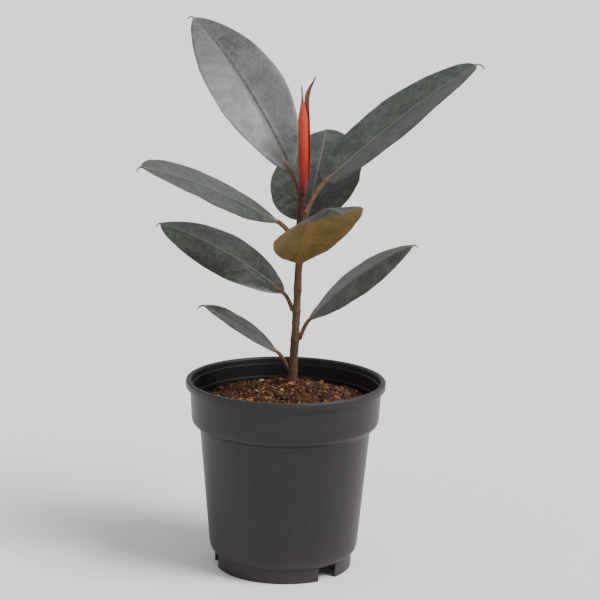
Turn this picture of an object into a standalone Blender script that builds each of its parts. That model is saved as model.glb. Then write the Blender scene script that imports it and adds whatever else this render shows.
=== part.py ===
"""Potted rubber plant: a young Ficus elastica in a 13 cm growers' pot.

Metres, +Z up. The origin is the centre of the pot's base, on the surface that it stands on.
Azimuths are degrees from +X towards +Y, elevations are degrees above the horizontal.
"""

from dataclasses import dataclass
from math import cos, exp, hypot, pi, radians, sin

import bmesh
import bpy
from mathutils import Vector

GAP = 0.0003  # between pieces that touch

# Pot
RIM_RADIUS = 0.0650
POT_HEIGHT = 0.1244
LIP_HEIGHT = 0.0047
LIP_INNER_RADIUS = 0.0615
BAND_TOP_RADIUS = 0.0622
BAND_BOTTOM_RADIUS = 0.0610
BAND_BOTTOM_HEIGHT = 0.0965
BODY_TOP_RADIUS = 0.0556
BODY_TOP_HEIGHT = 0.0925
BODY_BOTTOM_RADIUS = 0.0486
BODY_BOTTOM_HEIGHT = 0.0130
SHOULDER_RADIUS = 0.0464  # where the body turns in above the foot
FOOT_RADIUS = 0.0449
FOOT_HEIGHT = 0.0100
FOOT_WALL = 0.0018
WALL = 0.0014
STEP_HEIGHTS = (0.1200, 0.1115)  # two small ledges inside the rim
STEP_RADII = (0.0603, 0.0595)
BOSS_RADIUS = 0.0110  # centre of the floor, dished down to the surface
POT_STEPS = 48
NOTCH_AZIMUTHS = (-50, 70, 190)
NOTCH_WIDTH = 0.0142
NOTCH_HEIGHT = 0.0092
NOTCH_DEPTH = 0.0120
DRAIN_RADIUS = 0.0040
DRAIN_CIRCLE_RADIUS = 0.0330

# Soil
SOIL_EDGE_HEIGHT = 0.1080
MOUND_HEIGHT = 0.0105
MOUND_SPREAD = 0.0290
SOIL_STEPS = 40
SOIL_RINGS = 7
SOIL_UNEVENNESS = 0.0006
BURIED_TOP = 0.1380  # the stem's socket in the soil ends in the air above it

# Stem: (height, x, y, radius)
STEM = (
    (0.0700, 0.0038, 0.0150, 0.0012),
    (0.0850, 0.0040, 0.0150, 0.0022),
    (0.0980, 0.0042, 0.0150, 0.0034),
    (0.1120, 0.0043, 0.0150, 0.0036),
    (0.1250, 0.0045, 0.0150, 0.0031),
    (0.1380, 0.0049, 0.0145, 0.0028),
    (0.1480, 0.0055, 0.0140, 0.0030),
    (0.1570, 0.0058, 0.0140, 0.0026),
    (0.1660, 0.0061, 0.0140, 0.0028),
    (0.1750, 0.0064, 0.0140, 0.0025),
    (0.1820, 0.0066, 0.0135, 0.0027),
    (0.2000, 0.0069, 0.0130, 0.0023),
    (0.2140, 0.0072, 0.0130, 0.0025),
    (0.2300, 0.0076, 0.0130, 0.0026),
    (0.2430, 0.0087, 0.0130, 0.0023),
)

# Bud sheath and dry stipule
SHEATH_BASE = Vector((0.0088, 0.0130, 0.2436))
SHEATH_BEND = Vector((0.0096, 0.0130, 0.2780))
SHEATH_TIP = Vector((0.0067, 0.0130, 0.3140))
SHEATH_RADIUS = 0.0034
SHEATH_FOOT_RADIUS = 0.0022
SHEATH_SIDES = 14
SHEATH_ROWS = 15
SHEATH_SWELL_SHARE = 0.2  # where it reaches its full radius
SHEATH_TAPER_SHARES = (0.66, 0.95)  # where it narrows to a thin tip
SHEATH_TIP_SHARE = 0.05  # the tip's radius against the full one
# Dry stipule, a strap bent round the sheath's back: (height, x, y, half width) of its middle line
STIPULE = (
    (0.2520, 0.0112, 0.0156, 0.0016),
    (0.2700, 0.0112, 0.0159, 0.0026),
    (0.2900, 0.0107, 0.0161, 0.0023),
    (0.3000, 0.0103, 0.0161, 0.0018),
    (0.3075, 0.0106, 0.0157, 0.0017),
    (0.3125, 0.0122, 0.0152, 0.0011),
    (0.3160, 0.0139, 0.0149, 0.0006),
    (0.3195, 0.0158, 0.0147, 0.0003),
)
STIPULE_BEND_RADIUS = 0.0042
STIPULE_AZIMUTH = 55  # the side of the sheath that it stands on
STIPULE_THICKNESS = 0.0006

# Leaves
BLADE_THICKNESS = 0.0009
STALK_RADIUS = 0.0013
MIDRIB_DEPTH = 0.0009
LEAF_SIDES = 12
STALK_RINGS = 6
BLADE_RINGS = 17
MIDRIB_STEPS = 12  # short steps from ring to ring, so that the bent midrib keeps its length
BASE_SHARE = 0.12  # over which the round stalk becomes a flat blade
TIP_HALF_WIDTH = 0.0013


@dataclass
class Leaf:
    """One leaf: where its stalk leaves the stem, and how its blade runs from there."""

    node: float  # height of the stalk on the stem
    azimuth: float
    stalk: float  # straight length from the stem's axis to the blade
    stalk_rise: float
    rise: float  # elevation of the blade where it starts
    droop: float  # how far that elevation falls by the tip
    length: float
    width: float
    roll: float = 0  # turn about the midrib, positive lifts the left side
    twist: float = 0  # further roll by the tip
    swing: float = 0  # change of azimuth along the blade
    arch: float = 0  # extra elevation at mid length
    fold: float = 7  # how far each half is raised into a V
    widest: float = 0.98  # below 1 moves the widest part towards the tip
    fullness: float = 0.68  # lower is blunter
    tip: float = 0.006  # length of the drip tip
    hook: float = 60  # how far the drip tip bends down


LEAVES = {
    "leaf_low_left": Leaf(
        node=0.1265, azimuth=193, stalk=0.0170, stalk_rise=50, rise=38, droop=10,
        length=0.064, width=0.026, roll=-17, twist=-3, fold=5, hook=50,
    ),
    "leaf_low_right": Leaf(
        node=0.1475, azimuth=1, stalk=0.0160, stalk_rise=56, rise=50, droop=27,
        length=0.089, width=0.043, roll=13, twist=3, fold=-8, widest=1.01, fullness=0.72,
        tip=0.005, hook=50,
    ),
    "leaf_mid_left": Leaf(
        node=0.1665, azimuth=158, stalk=0.0150, stalk_rise=50, rise=35, droop=26,
        length=0.102, width=0.045, roll=-19, twist=-3, swing=3, arch=2, fold=-6,
        fullness=0.65, tip=0.005, hook=50,
    ),
    "leaf_front": Leaf(
        node=0.1810, azimuth=-80, stalk=0.0215, stalk_rise=64, rise=55, droop=72,
        length=0.107, width=0.060, roll=11, twist=5, swing=12, arch=10, fold=-13,
        widest=0.95, fullness=0.71, hook=40,
    ),
    "leaf_upper_left": Leaf(
        node=0.2140, azimuth=202, stalk=0.0205, stalk_rise=39, rise=30, droop=20,
        length=0.118, width=0.047, roll=-25, twist=-2, swing=29, arch=2, fold=-2,
        tip=0.007,
    ),
    "leaf_back": Leaf(
        node=0.2225, azimuth=76, stalk=0.0170, stalk_rise=5, rise=45, droop=28,
        length=0.103, width=0.061, roll=-6, swing=9, fold=2, widest=0.73, fullness=0.57,
        hook=40,
    ),
    "leaf_top_right": Leaf(
        node=0.2305, azimuth=23, stalk=0.0270, stalk_rise=51, rise=39, droop=10,
        length=0.135, width=0.051, roll=12, swing=-9, arch=2, widest=0.87,
        fullness=0.44, tip=0.008,
    ),
    "leaf_top_left": Leaf(
        node=0.2405, azimuth=144, stalk=0.0198, stalk_rise=60, rise=59, droop=20,
        length=0.131, width=0.052, roll=-28, twist=-3, fold=8, hook=70,
    ),
}


def clear_scene():
    for obj in list(bpy.data.objects):
        bpy.data.objects.remove(obj, do_unlink=True)


def new_collection(name):
    collection = bpy.data.collections.new(name)
    bpy.context.scene.collection.children.link(collection)
    return collection


def plain_material(name, colour, roughness):
    material = bpy.data.materials.new(name)
    material.use_nodes = True
    shader = material.node_tree.nodes["Principled BSDF"]
    shader.inputs["Base Color"].default_value = (*colour, 1)
    shader.inputs["Roughness"].default_value = roughness
    shader.inputs["Metallic"].default_value = 0
    return material


def add_object(name, mesh, collection, material=None):
    obj = bpy.data.objects.new(name, mesh)
    collection.objects.link(obj)
    if material:
        mesh.materials.append(material)
        mesh.shade_smooth()
        mesh.set_sharp_from_angle(angle=radians(40))
    return obj


def make_cutter(name, mesh, collection):
    cutter = add_object(name, mesh, collection)
    cutter.hide_render = True
    cutter.display_type = "WIRE"
    return cutter


def cut(obj, cutter):
    modifier = obj.modifiers.new("cut_" + cutter.name, "BOOLEAN")
    modifier.operation = "DIFFERENCE"
    modifier.solver = "EXACT"
    modifier.object = cutter


def profile_mesh(name, points):
    """An open outline in the XZ plane, for a Screw modifier."""
    mesh = bpy.data.meshes.new(name)
    edges = [(i, i + 1) for i in range(len(points) - 1)]
    mesh.from_pydata([(r, 0, z) for r, z in points], edges, [])
    return mesh


def turn(obj, steps):
    screw = obj.modifiers.new("turn", "SCREW")
    screw.axis = "Z"
    screw.steps = steps
    screw.render_steps = steps
    screw.use_merge_vertices = True
    screw.merge_threshold = 0.0001
    screw.use_smooth_shade = True


def evaluated_mesh(obj, name):
    """The object's mesh after its modifiers, or a curve's as a welded mesh."""
    graph = bpy.context.evaluated_depsgraph_get()
    mesh = bpy.data.meshes.new_from_object(obj.evaluated_get(graph))
    mesh.name = name
    work = bmesh.new()
    work.from_mesh(mesh)
    bmesh.ops.remove_doubles(work, verts=work.verts, dist=0.00001)
    bmesh.ops.recalc_face_normals(work, faces=work.faces)
    work.to_mesh(mesh)
    work.free()
    return mesh


def loft_mesh(name, rings):
    """A closed skin over rings with equal numbers of points, flat at both ends."""
    work = bmesh.new()
    rows = [[work.verts.new(point) for point in ring] for ring in rings]
    sides = len(rows[0])
    for near, far in zip(rows, rows[1:]):
        for i in range(sides):
            j = (i + 1) % sides
            work.faces.new((near[i], near[j], far[j], far[i]))
    work.faces.new(rows[0][::-1])
    work.faces.new(rows[-1])
    bmesh.ops.recalc_face_normals(work, faces=work.faces)
    mesh = bpy.data.meshes.new(name)
    work.to_mesh(mesh)
    work.free()
    return mesh


def body_radius(height):
    """Outer radius of the pot's tapered body."""
    share = (height - BODY_BOTTOM_HEIGHT) / (BODY_TOP_HEIGHT - BODY_BOTTOM_HEIGHT)
    return BODY_BOTTOM_RADIUS + share * (BODY_TOP_RADIUS - BODY_BOTTOM_RADIUS)


def pot_profile():
    """From the middle of the floor up the inside, over the lip, and down the outside."""
    floor = FOOT_HEIGHT + WALL
    corner = floor + 0.0025
    upper_step, lower_step = STEP_HEIGHTS
    upper_radius, lower_radius = STEP_RADII
    chamfer = 0.0012
    lip_bottom = POT_HEIGHT - LIP_HEIGHT
    inside = [
        (0, WALL),
        (BOSS_RADIUS - WALL, WALL),
        (BOSS_RADIUS, floor),
        (SHOULDER_RADIUS - WALL - chamfer, floor),
        (body_radius(corner) - WALL, corner),
        (BODY_TOP_RADIUS - WALL, BODY_TOP_HEIGHT),
        (BAND_BOTTOM_RADIUS - WALL - chamfer, BAND_BOTTOM_HEIGHT - chamfer),
        (lower_radius - GAP, BAND_BOTTOM_HEIGHT + chamfer),
        (lower_radius, lower_step),
        (upper_radius, lower_step),
        (upper_radius, upper_step),
        (LIP_INNER_RADIUS - GAP, upper_step),
        (LIP_INNER_RADIUS, POT_HEIGHT - chamfer),
        (LIP_INNER_RADIUS + chamfer, POT_HEIGHT),
    ]
    outside = [
        (RIM_RADIUS - chamfer, POT_HEIGHT),
        (RIM_RADIUS, POT_HEIGHT - chamfer),
        (RIM_RADIUS, lip_bottom + chamfer / 2),
        (RIM_RADIUS - chamfer / 2, lip_bottom),
        (BAND_TOP_RADIUS, lip_bottom),
        (BAND_BOTTOM_RADIUS, BAND_BOTTOM_HEIGHT),
        (BAND_BOTTOM_RADIUS - chamfer, BAND_BOTTOM_HEIGHT - 2 * chamfer),
        (BODY_TOP_RADIUS, BODY_TOP_HEIGHT),
        (BODY_BOTTOM_RADIUS, BODY_BOTTOM_HEIGHT),
        (SHOULDER_RADIUS, FOOT_HEIGHT),
        (FOOT_RADIUS, FOOT_HEIGHT),
        (FOOT_RADIUS, 0),
    ]
    foot_inner = FOOT_RADIUS - FOOT_WALL
    underside = [
        (foot_inner, 0),
        (foot_inner, FOOT_HEIGHT),
        (BOSS_RADIUS + WALL, FOOT_HEIGHT),
        (BOSS_RADIUS, 0),
        (0, 0),
    ]
    return inside + outside + underside


def make_pot(parts, cutters, material):
    pot = add_object("pot", profile_mesh("pot", pot_profile()), parts, material)
    turn(pot, POT_STEPS)
    for i, azimuth in enumerate(NOTCH_AZIMUTHS):
        angle = radians(azimuth)
        work = bmesh.new()
        bmesh.ops.create_cube(work, size=1)
        size = Vector((NOTCH_DEPTH, NOTCH_WIDTH, 2 * NOTCH_HEIGHT))
        bmesh.ops.scale(work, vec=size, verts=work.verts)
        mesh = bpy.data.meshes.new(f"notch_{i}")
        work.to_mesh(mesh)
        work.free()
        notch = make_cutter(f"notch_{i}", mesh, cutters)
        notch.location = (FOOT_RADIUS * cos(angle), FOOT_RADIUS * sin(angle), 0)
        notch.rotation_euler = (0, 0, angle)
        cut(pot, notch)

        work = bmesh.new()
        bmesh.ops.create_cone(
            work, cap_ends=True, segments=16, radius1=DRAIN_RADIUS, radius2=DRAIN_RADIUS,
            depth=0.01,
        )
        mesh = bpy.data.meshes.new(f"drain_{i}")
        work.to_mesh(mesh)
        work.free()
        drain = make_cutter(f"drain_{i}", mesh, cutters)
        drain.location = (
            DRAIN_CIRCLE_RADIUS * cos(angle), DRAIN_CIRCLE_RADIUS * sin(angle), FOOT_HEIGHT,
        )
        cut(pot, drain)
    return pot


def soil_height(x, y):
    """The soil's top, mounded where the rooted plug was planted."""
    _, stem_x, stem_y, _ = STEM[3]
    away = hypot(x - stem_x, y - stem_y) / MOUND_SPREAD
    uneven = SOIL_UNEVENNESS * sin(210 * x + 1.0) * cos(170 * y)
    return SOIL_EDGE_HEIGHT + MOUND_HEIGHT * exp(-away * away) + uneven


def soil_profile():
    """From the middle of the flat top down the side to the middle of the bottom."""
    floor = FOOT_HEIGHT + WALL + GAP
    corner = floor + 0.0030
    top_radius = STEP_RADII[1] - 2 * GAP
    chamfer = 0.0018
    top = [(top_radius * i / SOIL_RINGS, SOIL_EDGE_HEIGHT) for i in range(SOIL_RINGS + 1)]
    side = [
        (top_radius, BAND_BOTTOM_HEIGHT + chamfer),
        (BAND_BOTTOM_RADIUS - WALL - chamfer - 2 * GAP, BAND_BOTTOM_HEIGHT - chamfer / 2),
        (BODY_TOP_RADIUS - WALL - GAP, BODY_TOP_HEIGHT + GAP),
        (body_radius(corner) - WALL - GAP, corner),
        (SHOULDER_RADIUS - WALL - GAP - chamfer, floor),
        (0, floor),
    ]
    return top + side


def make_soil(parts, material, stem_cutter):
    turned = bpy.data.objects.new("turned_soil", profile_mesh("turned_soil", soil_profile()))
    parts.objects.link(turned)
    turn(turned, SOIL_STEPS)
    mesh = evaluated_mesh(turned, "soil")
    bpy.data.objects.remove(turned, do_unlink=True)
    for vertex in mesh.vertices:
        if vertex.co.z > SOIL_EDGE_HEIGHT - GAP:
            vertex.co.z = soil_height(vertex.co.x, vertex.co.y)
    soil = add_object("soil", mesh, parts, material)
    cut(soil, stem_cutter)
    return soil


def stem_mesh(name, extra_radius, top):
    """The stem as a tapered tube, thicker at each node, made a welded mesh."""
    points = [point for point in STEM if point[0] <= top]
    curve = bpy.data.curves.new(name, "CURVE")
    curve.dimensions = "3D"
    curve.bevel_depth = 1
    curve.bevel_resolution = 4
    curve.use_fill_caps = True
    spline = curve.splines.new("POLY")
    spline.points.add(len(points) - 1)
    for place, (height, x, y, radius) in zip(spline.points, points):
        place.co = (x, y, height, 1)
        place.radius = radius + extra_radius
    if extra_radius:
        spline.points[0].co.z -= extra_radius
    obj = bpy.data.objects.new(name, curve)
    bpy.context.scene.collection.objects.link(obj)
    mesh = evaluated_mesh(obj, name)
    bpy.data.objects.remove(obj, do_unlink=True)
    return mesh


def stem_at(height):
    """The stem's axis and radius at a height."""
    for low, high in zip(STEM, STEM[1:]):
        if low[0] <= height <= high[0]:
            share = (height - low[0]) / (high[0] - low[0])
            values = [a + share * (b - a) for a, b in zip(low, high)]
            return Vector((values[1], values[2], height)), values[3]
    raise ValueError(f"no stem at {height}")


def direction(azimuth, elevation):
    flat = cos(elevation)
    return Vector((flat * cos(azimuth), flat * sin(azimuth), sin(elevation)))


def bezier(points, share):
    a, b, c, d = points
    rest = 1 - share
    return a * rest**3 + b * 3 * share * rest**2 + c * 3 * share**2 * rest + d * share**3


def blade_angles(leaf, t):
    """Azimuth, elevation and roll of the midrib at a share of the blade's length."""
    body = 1 - leaf.tip / leaf.length
    late = max(0, (t - body) / (1 - body))
    azimuth = leaf.azimuth + leaf.swing * t
    elevation = leaf.rise - leaf.droop * t + leaf.arch * 4 * t * (1 - t) - leaf.hook * late
    roll = leaf.roll + leaf.twist * t
    return radians(azimuth), radians(elevation), radians(roll)


def blade_half_width(leaf, t):
    """An elliptic blade that ends in a narrow drip tip."""
    body = 1 - leaf.tip / leaf.length
    blade = leaf.width / 2 * sin(pi * min(1, t / body) ** leaf.widest) ** leaf.fullness
    tip = TIP_HALF_WIDTH * min(1, (1 - t) / (1 - 0.9 * body)) ** 0.8
    return hypot(blade, tip)


def blade_axes(azimuth, elevation, roll):
    """The midrib's direction, the blade's left side, and its upward normal."""
    along = direction(azimuth, elevation)
    flat_side = Vector((-sin(azimuth), cos(azimuth), 0))
    flat_normal = along.cross(flat_side)
    side = flat_side * cos(roll) + flat_normal * sin(roll)
    return along, side, along.cross(side)


def leaf_ring(centre, side, normal, half_width, half_thickness, fold, rib):
    """One cross-section: round on the stalk, a folded lens with a midrib on the blade."""
    ring = []
    for i in range(LEAF_SIDES):
        angle = 2 * pi * i / LEAF_SIDES
        across = half_width * cos(angle)
        up = half_thickness * sin(angle) + abs(across) * sin(fold)
        if i == 3 * LEAF_SIDES // 4:
            up -= rib
        ring.append(centre + side * (across * cos(fold)) + normal * up)
    return ring


def leaf_rings(leaf):
    axis, stem_radius = stem_at(leaf.node)
    azimuth, elevation, roll = blade_angles(leaf, 0)
    outward = direction(azimuth, 0)
    start = axis + outward * (stem_radius + GAP)
    blade_start = axis + direction(azimuth, radians(leaf.stalk_rise)) * leaf.stalk
    along, _, _ = blade_axes(azimuth, elevation, roll)
    reach = (blade_start - start).length
    path = (
        start,
        start + outward * min(0.003, reach / 3),
        blade_start - along * (0.4 * reach),
        blade_start,
    )
    rings = []
    for i in range(STALK_RINGS):
        share = i / STALK_RINGS
        centre = bezier(path, share)
        ahead = (bezier(path, share + 0.02) - centre).normalized() if i else outward
        turned = roll * share
        flat_side = Vector((-sin(azimuth), cos(azimuth), 0))
        side = flat_side * cos(turned) + ahead.cross(flat_side) * sin(turned)
        radius = STALK_RADIUS * (1.15 - 0.15 * share)
        rings.append(leaf_ring(centre, side, ahead.cross(side), radius, radius, 0, 0))

    centre = blade_start
    for i in range(BLADE_RINGS):
        t = i / (BLADE_RINGS - 1)
        azimuth, elevation, roll = blade_angles(leaf, t)
        _, side, normal = blade_axes(azimuth, elevation, roll)
        early = max(0, 1 - t / BASE_SHARE)
        half_width = hypot(blade_half_width(leaf, min(t, 0.995)), STALK_RADIUS * early)
        half_thickness = BLADE_THICKNESS / 2 + (STALK_RADIUS - BLADE_THICKNESS / 2) * early**2
        fold = radians(leaf.fold) * (1 - early)
        rib = MIDRIB_DEPTH * (1 - early) * (1 - t) ** 0.7
        rings.append(leaf_ring(centre, side, normal, half_width, half_thickness, fold, rib))
        for j in range(MIDRIB_STEPS):
            ahead = t + (j + 0.5) / MIDRIB_STEPS / (BLADE_RINGS - 1)
            azimuth, elevation, _ = blade_angles(leaf, min(ahead, 1))
            step = leaf.length / (BLADE_RINGS - 1) / MIDRIB_STEPS
            centre = centre + direction(azimuth, elevation) * step
    return rings


def sheath_centre(share):
    rest = 1 - share
    return SHEATH_BASE * rest**2 + SHEATH_BEND * 2 * share * rest + SHEATH_TIP * share**2


def sheath_radius(share):
    """Narrow at the foot, full over most of its length, drawn out to a point."""
    swell = min(1, share / SHEATH_SWELL_SHARE)
    body = SHEATH_FOOT_RADIUS + (SHEATH_RADIUS - SHEATH_FOOT_RADIUS) * sin(pi / 2 * swell)
    low, high = SHEATH_TAPER_SHARES
    taper = max(0, min(1, (share - low) / (high - low)))
    return body * (1 - (1 - SHEATH_TIP_SHARE) * taper * taper * (3 - 2 * taper))


def sheath_rings():
    rings = []
    for i in range(SHEATH_ROWS):
        share = i / (SHEATH_ROWS - 1)
        centre = sheath_centre(share)
        radius = sheath_radius(share)
        angles = [2 * pi * j / SHEATH_SIDES for j in range(SHEATH_SIDES)]
        rings.append([centre + Vector((radius * cos(a), radius * sin(a), 0)) for a in angles])
    return rings


def stipule_rings():
    """A thin strap, bent round the back of the sheath, that stands away to its tip."""
    rings = []
    facing = radians(STIPULE_AZIMUTH)
    for height, x, y, half_width in STIPULE:
        middle = Vector((x, y, height))
        centre = middle - direction(facing, 0) * STIPULE_BEND_RADIUS
        half_angle = half_width / STIPULE_BEND_RADIUS
        ring = []
        for edge, layer in ((1, 0), (-1, STIPULE_THICKNESS)):
            for k in range(5):
                angle = facing + edge * half_angle * (k / 2 - 1)
                ring.append(centre + direction(angle, 0) * (STIPULE_BEND_RADIUS + layer))
        rings.append(ring)
    return rings


def main():
    clear_scene()
    parts = new_collection("potted_rubber_plant")
    cutters = new_collection("cutters")

    plastic = plain_material("pot_plastic", (0.030, 0.029, 0.033), 0.45)
    earth = plain_material("potting_soil", (0.115, 0.060, 0.030), 0.95)
    bark = plain_material("stem_bark", (0.130, 0.085, 0.040), 0.70)
    green = plain_material("leaf_green", (0.075, 0.095, 0.080), 0.35)
    red = plain_material("sheath_red", (0.600, 0.090, 0.055), 0.40)
    brown = plain_material("dry_brown", (0.200, 0.095, 0.050), 0.80)

    make_pot(parts, cutters, plastic)
    socket = make_cutter("stem_socket", stem_mesh("stem_socket", GAP, BURIED_TOP), cutters)
    make_soil(parts, earth, socket)
    add_object("stem", stem_mesh("stem", 0, STEM[-1][0]), parts, bark)
    for name, leaf in LEAVES.items():
        add_object(name, loft_mesh(name, leaf_rings(leaf)), parts, green)
    add_object("bud_sheath", loft_mesh("bud_sheath", sheath_rings()), parts, red)
    add_object("dry_stipule", loft_mesh("dry_stipule", stipule_rings()), parts, brown)


main()
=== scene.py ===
# %% [markdown]
# # A potted rubber plant
#
# This lesson dresses a young rubber plant in its growers' pot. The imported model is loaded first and
# never moved: it says where the pot, the soil, the stem and the leaves are. Everything below is made
# at those places, in metres, with +Z up and the centre of the pot's base at the origin.

# %% Load the frame
import math

import bmesh
import bpy
from mathutils import Matrix, Vector, noise


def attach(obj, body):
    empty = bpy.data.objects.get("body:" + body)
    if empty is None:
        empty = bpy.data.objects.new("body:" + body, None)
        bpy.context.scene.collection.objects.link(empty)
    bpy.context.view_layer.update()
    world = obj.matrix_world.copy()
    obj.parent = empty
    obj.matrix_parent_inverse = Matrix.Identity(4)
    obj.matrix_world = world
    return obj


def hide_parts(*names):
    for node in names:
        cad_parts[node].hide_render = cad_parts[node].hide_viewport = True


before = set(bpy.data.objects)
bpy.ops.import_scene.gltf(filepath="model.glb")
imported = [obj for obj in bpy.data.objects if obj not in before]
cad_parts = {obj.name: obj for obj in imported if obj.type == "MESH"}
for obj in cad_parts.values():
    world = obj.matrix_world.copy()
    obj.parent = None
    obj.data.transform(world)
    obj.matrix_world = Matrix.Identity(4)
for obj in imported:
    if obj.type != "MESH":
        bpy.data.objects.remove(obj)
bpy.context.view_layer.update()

# %% [markdown]
# ## The camera
#
# A plant shop photographs its stock from a step away with a long lens, slightly from above. A long
# lens keeps the pot's sides nearly straight. The camera is built from three directions at right
# angles, because that states pitch, turn and roll without a chain of rotations.

# %% Place the camera
CAMERA_BACK = 1.2
CAMERA_HEIGHT = 0.4226
LENS = 114.0
PITCH_DOWN = math.radians(11.57)
TURN = math.radians(0.39)
ROLL = math.radians(1.07)


def make_camera():
    forward = Vector((
        math.sin(TURN) * math.cos(PITCH_DOWN),
        math.cos(TURN) * math.cos(PITCH_DOWN),
        -math.sin(PITCH_DOWN),
    ))
    level = Vector((math.cos(TURN), -math.sin(TURN), 0))
    upright = level.cross(forward)
    right = level * math.cos(ROLL) + upright * math.sin(ROLL)
    up = upright * math.cos(ROLL) - level * math.sin(ROLL)
    camera = bpy.data.objects.new("camera", bpy.data.cameras.new("camera"))
    bpy.context.scene.collection.objects.link(camera)
    camera.data.lens = LENS
    turn = Matrix((right, up, -forward)).transposed().to_4x4()
    camera.matrix_world = Matrix.Translation((0, -CAMERA_BACK, CAMERA_HEIGHT)) @ turn
    bpy.context.scene.camera = camera
    return camera


camera = make_camera()
print("camera at", tuple(round(v, 3) for v in camera.matrix_world.translation))

# %% [markdown]
# ## Writing node trees as sums
#
# Geometry and materials below are node trees. A small class wraps a socket, so that `a * b + 1` adds
# the Math nodes for it, and one method adds every other kind of node. The same class serves both
# kinds of tree, because both have Math and Vector Math nodes.

# %% Expressions on sockets


class Socket:
    """An output of a node. Arithmetic on it adds Math or Vector Math nodes."""

    def __init__(self, graph, plug):
        self.graph = graph
        self.plug = plug

    def is_vector(self):
        return self.plug.type in ("VECTOR", "RGBA")

    def combine(self, operation, first, second):
        pair = (first, second)
        if any(isinstance(p, Vector) or (isinstance(p, Socket) and p.is_vector()) for p in pair):
            if operation == "MULTIPLY":
                vector, factor = pair if pair[0].is_vector() else pair[::-1]
                kind = {"operation": "SCALE"}
                return self.graph.add("ShaderNodeVectorMath", kind, {0: vector, "Scale": factor})
            return self.graph.add("ShaderNodeVectorMath", {"operation": operation}, {0: first, 1: second})
        return self.graph.add("ShaderNodeMath", {"operation": operation}, {0: first, 1: second})

    def __add__(self, other):
        return self.combine("ADD", self, other)

    def __radd__(self, other):
        return self.combine("ADD", other, self)

    def __sub__(self, other):
        return self.combine("SUBTRACT", self, other)

    def __rsub__(self, other):
        return self.combine("SUBTRACT", other, self)

    def __mul__(self, other):
        return self.combine("MULTIPLY", self, other)

    def __rmul__(self, other):
        return self.combine("MULTIPLY", self, other)

    def __truediv__(self, other):
        return self.combine("DIVIDE", self, other)

    def __rtruediv__(self, other):
        return self.combine("DIVIDE", other, self)

    def __pow__(self, other):
        return self.combine("POWER", self, other)

    def __neg__(self):
        return self.combine("MULTIPLY", self, -1.0)

    def math(self, operation, other=0.0, third=0.0):
        inputs = {0: self, 1: other, 2: third}
        return self.graph.add("ShaderNodeMath", {"operation": operation}, inputs)

    def clamp(self):
        kind = {"operation": "ADD", "use_clamp": True}
        return self.graph.add("ShaderNodeMath", kind, {0: self, 1: 0.0})

    def smooth(self, low, high):
        """0 below low, 1 above high, with a soft change between."""
        kind = {"interpolation_type": "SMOOTHSTEP"}
        inputs = {"Value": self, "From Min": low, "From Max": high}
        return self.graph.add("ShaderNodeMapRange", kind, inputs)

    def split(self):
        """The X, Y and Z of a vector."""
        node = self.graph.node("ShaderNodeSeparateXYZ", {}, {0: self})
        return [Socket(self.graph, plug) for plug in node.outputs]


class Graph:
    """A node tree, and the one method that adds nodes to it."""

    def __init__(self, tree):
        self.tree = tree

    def node(self, kind, settings=None, inputs=None):
        node = self.tree.nodes.new(kind)
        for name, value in (settings or {}).items():
            if name == "stops":
                self.set_stops(node.color_ramp, value)
            else:
                setattr(node, name, value)
        for key, value in (inputs or {}).items():
            self.set(self.plug(node.inputs, key), value)
        return node

    def add(self, kind, settings=None, inputs=None, output=0):
        """The same, giving back the chosen output."""
        node = self.node(kind, settings, inputs)
        return Socket(self, self.plug(node.outputs, output))

    @staticmethod
    def plug(plugs, key):
        usable = [plug for plug in plugs if plug.enabled]
        if isinstance(key, int):
            return usable[key] if key < len(usable) else None
        return next(plug for plug in usable if plug.name == key)

    def set(self, plug, value):
        if plug is None:
            return
        if isinstance(value, Socket):
            self.tree.links.new(value.plug, plug)
        elif isinstance(value, (list, tuple)) and value and isinstance(value[0], Socket):
            for one in reversed(value):
                self.tree.links.new(one.plug, plug)
        else:
            if plug.type == "RGBA" and len(value) == 3:
                value = (*value, 1)
            plug.default_value = value

    @staticmethod
    def set_stops(ramp, stops):
        while len(ramp.elements) > 1:
            ramp.elements.remove(ramp.elements[-1])
        for i, (place, colour) in enumerate(stops):
            element = ramp.elements[0] if i == 0 else ramp.elements.new(place)
            element.position = place
            element.color = (*colour, 1)

    def vector(self, x, y, z):
        return self.add("ShaderNodeCombineXYZ", {}, {0: x, 1: y, 2: z})

    def cross(self, first, second):
        kind = {"operation": "CROSS_PRODUCT"}
        return self.add("ShaderNodeVectorMath", kind, {0: first, 1: second})

    def mix(self, factor, first, second):
        """Numbers or vectors, weighted by factor."""
        return first + (second - first) * factor

    def mix_colour(self, factor, first, second, blend="MIX"):
        kind = {"data_type": "RGBA", "blend_type": blend, "clamp_factor": True}
        inputs = {"Factor": factor, "A": first, "B": second}
        return self.add("ShaderNodeMix", kind, inputs)


print("expression helpers ready")

# %% [markdown]
# ## Materials share one start
#
# Every finish is a Principled shader. What is the same all over a piece is a plain number on the
# shader, and only colour, roughness and the surface's fine relief come from nodes.

# %% A material, and patterns that several materials use


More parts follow.
